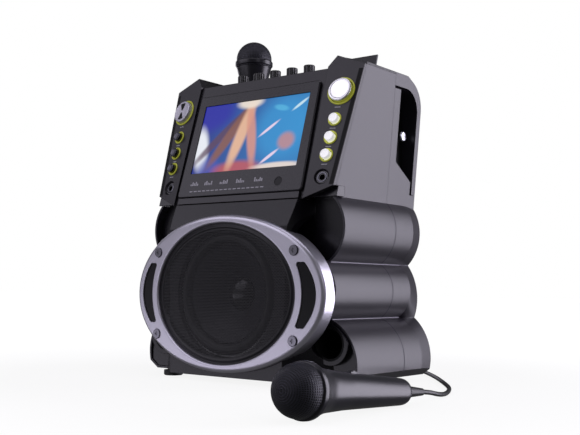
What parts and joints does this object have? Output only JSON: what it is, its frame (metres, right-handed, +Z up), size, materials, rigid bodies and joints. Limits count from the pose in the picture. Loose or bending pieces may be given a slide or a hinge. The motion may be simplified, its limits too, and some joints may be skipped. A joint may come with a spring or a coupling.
{
  "type": "karaoke machine with disc tray",
  "caption": "Portable karaoke machine: tilted screen console over a disc tray, oval-ringed speaker in a cabinet with three swelling lobes a side, microphone in a deck cup and another on a lead.",
  "frame": {"origin": "on the floor, midway between the four feet", "axes": "+Z up, the front looks along -Y, +X to the right as seen from the front"},
  "size_m": [0.4131, 0.489, 0.4116],
  "materials": {
    "front_shell_plastic": "satin moulded charcoal",
    "console_plastic": "satin near-black",
    "deck_plastic": "fine texture black",
    "fascia_gloss": "polished black",
    "ring_silver": "satin silver paint",
    "screen": "lit display",
    "smoked_clear": "dark translucent",
    "screw_steel": "plated",
    "grille_mesh": "perforated black",
    "basket_steel": "black",
    "magnet_ferrite": "dull",
    "surround_rubber": "matt",
    "cone_plastic": "pressed fibre",
    "light_ring": "translucent, lit yellow-green",
    "socket_black": "moulded",
    "circuit_board": "solder mask",
    "drive_plastic": "plain",
    "motor_steel": "plain",
    "av_socket": "plated",
    "knob_silver": "satin plated",
    "knob_dark": "dark chrome",
    "knob_black": "fluted",
    "mic_black": "semi-gloss",
    "mic_mesh": "woven mesh, dark",
    "cord_black": "smooth"
  },
  "bodies": {
    "case": {"cabinet_front_shell": "front_shell_plastic", "cabinet_rear_shell": "front_shell_plastic", "front_fascia": "fascia_gloss", "console_front": "console_plastic", "top_deck": "deck_plastic", "rear_hood": "front_shell_plastic", "rear_housing": "deck_plastic", "screen_bezel": "console_plastic", "lcd_panel": "screen", "smoked_windows": "smoked_clear", "speaker_ring": "ring_silver", "case_screws": "screw_steel", "speaker_grille": "grille_mesh", "woofer_basket": "basket_steel", "woofer_magnet": "magnet_ferrite", "woofer_surround": "surround_rubber", "feet": "surround_rubber", "bass_ports": "deck_plastic", "knob_light_rings": "light_ring", "mic_jacks": "socket_black", "main_board": "circuit_board", "power_board": "circuit_board", "control_boards": "circuit_board", "drive_chassis": "drive_plastic", "sled_rods": "screw_steel", "drive_motors": "motor_steel", "av_jacks": "av_socket", "mains_inlet": "socket_black", "strap_pegs": "screw_steel", "mic_cup": "deck_plastic"},
    "tray": {"disc_tray": "console_plastic"},
    "gear": {"loading_gear": "drive_plastic"},
    "spindle": {"turntable": "drive_plastic"},
    "sled": {"laser_sled": "drive_plastic"},
    "cone": {"woofer_cone": "cone_plastic"},
    "volume": {"volume_knob": "knob_silver"},
    "nav": {"nav_button": "knob_silver"},
    "rest": {"tablet_rest": "deck_plastic"},
    "rocker": {"power_rocker": "socket_black"},
    "holder_mic": {"holder_mic_body": "mic_black", "holder_mic_grille": "mic_mesh"},
    "holder_slider": {"holder_mic_switch": "mic_black"},
    "loose_mic": {"loose_mic_body": "mic_black", "loose_mic_grille": "mic_mesh", "cord_relief": "cord_black", "mic_cord": "cord_black", "mic_cord_coil": "cord_black", "mic_plug": "cord_black"},
    "loose_slider": {"loose_mic_switch": "mic_black"},
    "left_key_1": {"left_button_1": "knob_dark"},
    "left_key_2": {"left_button_2": "knob_dark"},
    "left_key_3": {"left_button_3": "knob_dark"},
    "right_key_1": {"right_button_1": "knob_silver"},
    "right_key_2": {"right_button_2": "knob_silver"},
    "right_key_3": {"right_button_3": "knob_silver"},
    "knob_1": {"top_knob_1": "knob_black"},
    "knob_2": {"top_knob_2": "knob_black"},
    "knob_3": {"top_knob_3": "knob_black"},
    "knob_4": {"top_knob_4": "knob_black"},
    "knob_5": {"top_knob_5": "knob_black"}
  },
  "joints": [
    {"name": "tray_slide", "type": "slide", "parent": "case", "child": "tray", "axis": [0, -1, 0], "range_m": [0, 0.124]},
    {"name": "gear_turn", "type": "hinge", "parent": "case", "child": "gear", "pos_m": [-0.04985, -0.05, 0.1984], "axis": [0, 0, 1], "range_deg": [0, 890]},
    {"name": "disc_spin", "type": "hinge", "parent": "case", "child": "spindle", "pos_m": [0, -0.012, 0.2], "axis": [0, 0, 1], "continuous": true},
    {"name": "sled_slide", "type": "slide", "parent": "case", "child": "sled", "axis": [0, 1, 0], "range_m": [0, 0.034]},
    {"name": "cone_move", "type": "slide", "parent": "case", "child": "cone", "axis": [0, -1, 0], "range_m": [-0.0015, 0.0015], "stiffness_N_per_m": 1200},
    {"name": "volume_turn", "type": "hinge", "parent": "case", "child": "volume", "pos_m": [0.1159, -0.04321, 0.31442], "axis": [0.1367, -0.9503, 0.2797], "range_deg": [-150, 150]},
    {"name": "nav_press", "type": "slide", "parent": "case", "child": "nav", "axis": [0.1367, 0.9503, -0.2797], "range_m": [0, 0.0012], "stiffness_N_per_m": 600},
    {"name": "left_button_1_press", "type": "slide", "parent": "case", "child": "left_key_1", "axis": [0.1367, 0.9503, -0.2797], "range_m": [0, 0.0012], "stiffness_N_per_m": 400},
    {"name": "left_button_2_press", "type": "slide", "parent": "case", "child": "left_key_2", "axis": [0.1367, 0.9503, -0.2797], "range_m": [0, 0.0012], "stiffness_N_per_m": 400},
    {"name": "left_button_3_press", "type": "slide", "parent": "case", "child": "left_key_3", "axis": [0.1367, 0.9503, -0.2797], "range_m": [0, 0.0012], "stiffness_N_per_m": 400},
    {"name": "right_button_1_press", "type": "slide", "parent": "case", "child": "right_key_1", "axis": [-0.1367, 0.9503, -0.2797], "range_m": [0, 0.0012], "stiffness_N_per_m": 400},
    {"name": "right_button_2_press", "type": "slide", "parent": "case", "child": "right_key_2", "axis": [-0.1367, 0.9503, -0.2797], "range_m": [0, 0.0012], "stiffness_N_per_m": 400},
    {"name": "right_button_3_press", "type": "slide", "parent": "case", "child": "right_key_3", "axis": [-0.1367, 0.9503, -0.2797], "range_m": [0, 0.0012], "stiffness_N_per_m": 400},
    {"name": "top_knob_1_turn", "type": "hinge", "parent": "case", "child": "knob_1", "pos_m": [-0.0496, -0.012, 0.3436], "axis": [0, 0, 1], "range_deg": [-150, 150]},
    {"name": "top_knob_2_turn", "type": "hinge", "parent": "case", "child": "knob_2", "pos_m": [-0.0248, -0.012, 0.3436], "axis": [0, 0, 1], "range_deg": [-150, 150]},
    {"name": "top_knob_3_turn", "type": "hinge", "parent": "case", "child": "knob_3", "pos_m": [0, -0.012, 0.3436], "axis": [0, 0, 1], "range_deg": [-150, 150]},
    {"name": "top_knob_4_turn", "type": "hinge", "parent": "case", "child": "knob_4", "pos_m": [0.0248, -0.012, 0.3436], "axis": [0, 0, 1], "range_deg": [-150, 150]},
    {"name": "top_knob_5_turn", "type": "hinge", "parent": "case", "child": "knob_5", "pos_m": [0.0496, -0.012, 0.3436], "axis": [0, 0, 1], "range_deg": [-150, 150]},
    {"name": "rest_fold", "type": "hinge", "parent": "case", "child": "rest", "pos_m": [0.062, 0.057, 0.3463], "axis": [1, 0, 0], "range_deg": [0, 104]},
    {"name": "power_rock", "type": "hinge", "parent": "case", "child": "rocker", "pos_m": [0.03, 0.08, 0.244], "axis": [1, 0, 0], "range_deg": [-7, 7]},
    {"name": "holder_mic_lift", "type": "slide", "parent": "case", "child": "holder_mic", "axis": [0, 0, 1], "range_m": [0, 0.15]},
    {"name": "holder_mic_switch_slide", "type": "slide", "parent": "holder_mic", "child": "holder_slider", "axis": [0, 0, 1], "range_m": [0, 0.006]},
    {"name": "loose_mic_lift", "type": "slide", "parent": "case", "child": "loose_mic", "axis": [0, 0, 1], "range_m": [0, 0.15]},
    {"name": "loose_mic_switch_slide", "type": "slide", "parent": "loose_mic", "child": "loose_slider", "axis": [-0.0243, -0.9963, 0.0825], "range_m": [0, 0.006]}
  ],
  "couplings": [
    {"joint": "gear_turn", "follows": "tray_slide", "rad_per_m": 125}
  ]
}
